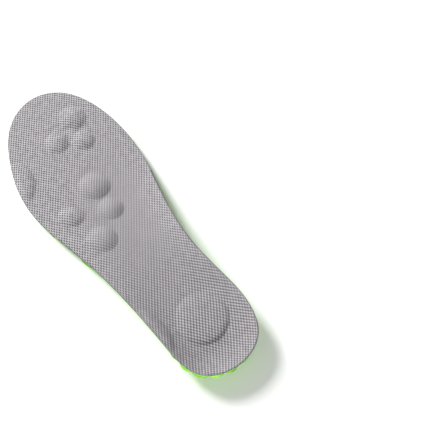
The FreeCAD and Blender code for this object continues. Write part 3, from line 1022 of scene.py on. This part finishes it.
    def top(self, x: Array, y: Array) -> Array:
        """Height of the foam's top, with the pods' pockets in it."""
        return cover_top(x, y) - LAYERS - self.film_play - PODS.pocket(x, y)

    def depth_in_groove(self, stand: Array, dent: Array) -> Array:
        """How deep points lie in a groove or hole, whichever is more: 0 on a crown, 1 at its bottom."""
        return np.clip(np.maximum(1.0 - stand / self.crown, dent / self.hole_depth), 0.0, 1.0)

    def finish_sole(self, x: Array, y: Array, z: Array) -> tuple[Array, Array, Array, Array]:
        """Flatten the crowns on the ground, sink the holes and cut the heel pad's moat and pocket.

        Args:
            x: The points' x.
            y: The points' y.
            z: The points' heights with the cobbles.

        Returns:
            The points' x, y and z, and how deep each lies in a hole.
        """
        z = soft_max(np.array([z, np.full_like(z, self.ground)]), self.ground)
        places = [p for cobble in self.cobbles for p in cobble.holes(self.column_step, self.hole_step)]
        x, y, dent = punch(x, y, places, self.hole_radius, self.hole_depth)
        z = z + dent
        outside = self.pad.outside(x, y)
        z = z + (self.pad.moat_floor - z) * smooth((self.pad.moat + self.moat_wall - outside) / self.wall)
        z = z + (self.pad.depth - z) * smooth((-self.pocket_wall - outside) / self.wall)
        return x, y, z, dent

    def sole(self, grid: RayGrid) -> tuple[Array, Array]:
        """Work out the rings of the edge and the sole, from the film down and in to the spine.

        Args:
            grid: The rays.

        Returns:
            The rings, and how deep each point lies in a groove.
        """
        rim_top = cover_top(*grid.rim.T) - LAYERS
        rim_low = np.minimum(sole_base(*grid.rim.T), rim_top - self.band - self.least_wall)
        rings = [np.column_stack([grid.plan(1.0, out), rim_top - drop]) for out, drop in self.edge]
        tuck = self.tuck.by_side(*grid.rim.T)[:, None]
        band_low = rim_top - self.band
        wall = [np.column_stack([grid.plan(1.0, -tuck * smooth(np.array(share / self.tuck_reach))),
                                 band_low + (rim_low - band_low) * share])
                for share in np.linspace(0.0, 1.0, self.wall_rings)]
        for share in 1.0 - steps_to(self.sole_rings):
            level = np.minimum(sole_base(*grid.plan(share).T), rim_low)
            wall.append(np.column_stack([grid.plan(share, -tuck * share ** self.tuck_power), level]))
        bare = np.array(wall)
        steps = np.linalg.norm(np.diff(bare, axis=0), axis=-1)
        down = np.concatenate([np.zeros((1, bare.shape[1])), np.cumsum(steps, axis=0)])
        round_rim = np.roll(bare, -1, axis=1) - np.roll(bare, 1, axis=1)
        normal = np.cross(np.gradient(bare, axis=0), round_rim)
        normal /= np.maximum(np.linalg.norm(normal, axis=-1, keepdims=True), 1e-9)
        along = np.broadcast_to(grid.along, down.shape)
        fade = smooth(down / self.fade)
        stand = self.relief(bare, along, down, grid.length) * fade
        shaped = bare + normal * stand[..., None]
        x, y, z, dent = self.finish_sole(shaped[..., 0], shaped[..., 1], shaped[..., 2])
        deep = self.depth_in_groove(stand, dent) * fade
        plain = np.zeros((len(rings), deep.shape[1]))
        return (np.concatenate([np.array(rings), np.stack([x, y, z], axis=-1)]),
                np.concatenate([plain, deep]))

    def spine_sole(self, grid: RayGrid) -> tuple[Array, Array]:
        """Heights of the spine's points on the sole, and how deep each lies in a groove."""
        x, y = grid.spine.T
        bare = np.column_stack([x, y, sole_base(x, y)])
        past_lobes = np.full(len(x), 99.0)
        stand = self.relief(bare, np.zeros(len(x)), past_lobes, grid.length)
        _, _, z, dent = self.finish_sole(x, y, bare[:, 2] - stand)
        return z, self.depth_in_groove(stand, dent)

    def build(self) -> bpy.types.Object:
        """Make the base: a top with pockets for the pods, a rounded edge and the cobbled sole.

        Returns:
            The object.
        """
        grid = RayGrid(self.steps)
        rings = []
        for share in steps_to(self.top_rings):
            plan = grid.plan(share)
            rings.append(np.column_stack([plan, self.top(*plan.T)]))
        below, deep = self.sole(grid)
        spine_low, spine_deep = self.spine_sole(grid)
        plain = np.zeros(len(grid.spine) + len(rings) * 2 * self.steps)
        groove = np.concatenate([plain, deep.ravel(), spine_deep])
        piece = grid.build("foam_base", self.top(*grid.spine.T),
                           np.concatenate([np.array(rings), below]), spine_low, groove=groove)
        dress(piece, Finish.FOAM)
        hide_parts("foam_base_rear", "foam_base_fore")
        FLEX.bend(piece)
        return piece


# ---- film and cover -----------------------------------------------------------------------
def over_pods(x: Array, y: Array) -> Array:
    """Height of the cover's top, with the pods under it."""
    return cover_top(x, y) + PODS.swell(x, y)


def layer_rings(grid: RayGrid, shares: Array, edge: tuple[tuple[float, float], ...], high: float,
                low: float, back: Array) -> tuple[Array, Array, Array]:
    """Rings of a thin layer that follows the cover's top at two depths below it.

    Args:
        grid: The rays.
        shares: Shares along the rays of the upper face's rings, outwards.
        edge: For each ring of the edge, its outset from the rim and its depth.
        high: Depth of the upper face below the cover's top.
        low: Depth of the lower face.
        back: Shares of the lower face's rings, inwards.

    Returns:
        The rings, and the heights of the spine's points above and below.
    """
    plans = [(grid.plan(s), high) for s in shares] + [(grid.plan(1.0, out), depth) for out, depth in edge]
    plans += [(grid.plan(s), low) for s in back]
    plan = np.array([p for p, _ in plans])
    depth = np.array([d for _, d in plans])[:, None]
    top = over_pods(plan[..., 0], plan[..., 1])
    rings = np.concatenate([plan, (top - depth)[..., None]], axis=-1)
    spine = over_pods(*grid.spine.T)
    return rings, spine - high, spine - low


@dataclass
class BondingFilm:
    """The hot-melt film that bonds the cover to the foam; its edge stands a hair proud, and its
    near-black colour draws a line of partly painted shadow along the rim.
    """

    steps: int = 300
    rings: int = 44
    lip: float = 0.28           # how far its cut edge stands out of the rim
    shoulder: float = 0.8       # where the edge's rounding starts, as a share of the lip

    def build(self) -> bpy.types.Object:
        """Make the film."""
        grid = RayGrid(self.steps)
        shares = steps_to(self.rings)
        high, low = COVER_THICKNESS + PLAY, LAYERS - PLAY
        middle = (high + low) / 2.0
        shoulder = self.lip * self.shoulder
        edge = ((0.0, high), (shoulder, high), (self.lip, middle), (shoulder, low), (0.0, low))
        rings, above, below = layer_rings(grid, shares, edge, high, low, shares[::-1])
        piece = grid.build("bonding_film", above, rings, below)
        dress(piece, Finish.FILM)
        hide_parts("bonding_film_rear", "bonding_film_fore")
        FLEX.bend(piece)
        return piece


@dataclass
class KnitCover:
    """The knitted cover, one sheet bonded over the foam, the pods and the heel cup's walls."""

    steps: int = 360
    rings: int = 88
    back_rings: int = 32
    stretch: float = 0.0012     # how fast the stitches widen from the toe to the heel, per mm
    centre: tuple[float, float] = (0.0, 80.0)       # where they keep their width

    def flat_places(self, grid: RayGrid, rings: Array, spine_top: Array) -> Array:
        """Find where each vertex lay on the flat cloth.

        A vertex lies on its ray at the length of cloth between it and the spine, measured as if
        there were no pods, because the knit stretches over them in the mould. The cloth is
        pulled into the heel cup, so its stitches widen steadily towards the heel.

        Args:
            grid: The rays.
            rings: The cover's rings.
            spine_top: Heights of the spine's points.

        Returns:
            Places in millimetres, for the spine, the rings and the spine's underside.
        """
        start = np.column_stack([grid.spine, spine_top])[grid.station]
        outer = len(rings) - self.back_rings
        line = np.concatenate([start[None], rings[:outer]])
        line[..., 2] -= PODS.swell(line[..., 0], line[..., 1])
        lengths = np.cumsum(np.linalg.norm(np.diff(line, axis=0), axis=-1), axis=0)
        ray = grid.rim - grid.spine[grid.station]
        ray /= np.linalg.norm(ray, axis=1)[:, None]
        laid = grid.spine[grid.station] + ray * lengths[..., None]
        below = rings[outer:, :, :2]
        flat = np.vstack([grid.spine, laid.reshape(-1, 2), below.reshape(-1, 2), grid.spine])
        centre = np.array(self.centre)
        return centre + (flat - centre) * (1.0 + self.stretch / 2.0 * (flat[:, 1:] - centre[1]))

    def build(self) -> bpy.types.Object:
        """Make the cover."""
        grid = RayGrid(self.steps)
        shares = steps_to(self.rings)
        thick = COVER_THICKNESS
        # The knife leaves a rounded upper edge: (outset, depth).
        edge = ((-0.45, 0.0), (-0.18, 0.05), (-0.04, 0.2), (0.0, 0.42), (0.0, thick - 0.2),
                (-0.08, thick - 0.04))
        back = np.arange(self.back_rings, 0, -1) / (self.back_rings + 1.0)
        rings, above, below = layer_rings(grid, shares, edge, 0.0, thick, back)
        flat = self.flat_places(grid, rings, above)
        piece = grid.build("knit_cover", above, rings, below, flat)
        dress(piece, Finish.KNIT)
        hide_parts("knit_cover_rear", "knit_cover_fore")
        FLEX.bend(piece)
        return piece


# ---- studio -------------------------------------------------------------------------------
@dataclass
class Studio:
    """A white table, a broad soft key light from the toe's side, a low fill and a high camera."""

    heading: float = 37.92      # degrees from +Y towards +X that the camera faces
    pitch: float = 72.27        # degrees that it looks down
    aim: tuple[float, float, float] = (0.05795, 0.05208, 0.008)
    distance: float = 1.0
    lens: float = 114.2
    middle: tuple[float, float, float] = (0.0, 0.08, 0.0)       # what the lights face
    key: tuple[float, float, float] = (-0.16, 1.00, 0.84)       # where it stands from there
    key_power: float = 28.4     # watts
    fill: tuple[float, float, float] = (-0.45, -0.95, 0.22)
    fill_power: float = 8.0
    lamp_size: float = 0.5
    surroundings: float = 0.384

    def camera(self) -> None:
        """Make the camera."""
        heading, pitch = math.radians(self.heading), math.radians(self.pitch)
        forward = Vector((math.sin(heading) * math.cos(pitch), math.cos(heading) * math.cos(pitch),
                          -math.sin(pitch)))
        right = Vector((math.cos(heading), -math.sin(heading), 0.0))
        up = right.cross(forward)
        data = bpy.data.cameras.new("camera")
        data.sensor_width = 36.0
        data.lens = self.lens
        data.clip_start, data.clip_end = 0.05, 20.0
        camera = bpy.data.objects.new("camera", data)
        turn = Matrix((right, up, -forward)).transposed().to_4x4()
        camera.matrix_world = Matrix.Translation(Vector(self.aim) - forward * self.distance) @ turn
        bpy.context.scene.collection.objects.link(camera)
        bpy.context.scene.camera = camera

    def area_light(self, name: str, away: tuple[float, float, float], power: float) -> None:
        """Make a square area light that faces the insole.

        Args:
            name: The light's name.
            away: Where it stands, from the insole's middle, in metres.
            power: Its power in watts.
        """
        data = bpy.data.lights.new(name, "AREA")
        data.size = self.lamp_size
        data.energy = power
        lamp = bpy.data.objects.new(name, data)
        lamp.location = Vector(self.middle) + Vector(away)
        lamp.rotation_euler = Vector(away).to_track_quat("Z", "Y").to_euler()
        bpy.context.scene.collection.objects.link(lamp)

    def lights(self) -> None:
        """Make the key light, a low fill behind the heel and the white surroundings."""
        self.area_light("key", self.key, self.key_power)
        self.area_light("fill", self.fill, self.fill_power)
        world = bpy.data.worlds.new("surroundings")
        world.use_nodes = True
        background = world.node_tree.nodes["Background"]
        background.inputs["Color"].default_value = (1.0, 1.0, 1.0, 1.0)
        background.inputs["Strength"].default_value = self.surroundings
        bpy.context.scene.world = world
        bpy.context.scene.view_settings.view_transform = "Standard"

    def table(self) -> None:
        """Make the white table under the insole."""
        reach = 6.0
        vertices = np.array([(-reach, -reach, 0.0), (reach, -reach, 0.0), (reach, reach, 0.0),
                             (-reach, reach, 0.0)]) / MM
        floor = make_mesh("table", vertices, np.array([[0, 1, 2, 3]]))
        material, tree = new_material("laminate_white_matte")
        place = add_node(tree, "TexCoord").outputs["Object"]
        gloss = spread_over(tree, noise(tree, place, 60.0, 2.0), 0.7, 0.8)
        floor.data.materials.append(shade(material, {
            "Base Color": linear("F7F7F7"), "Roughness": gloss, "Specular IOR Level": 0.1}))

    def build(self) -> None:
        """Make the whole studio."""
        self.camera()
        self.lights()
        self.table()


def main() -> None:
    """Build every piece around the CAD frame, in the order in which the insole is made."""
    logging.basicConfig(level=logging.INFO, format="%(name)s: %(message)s")
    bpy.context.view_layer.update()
    Studio().build()
    foam = FoamBase()
    pieces = [foam.build(), foam.pad.build()]
    pieces += PODS.build()
    pieces += [BondingFilm().build(), KnitCover().build()]
    for piece in pieces:
        LOG.info("%s: %d faces", piece.name, len(piece.data.polygons))


if __name__ == "__main__":
    main()
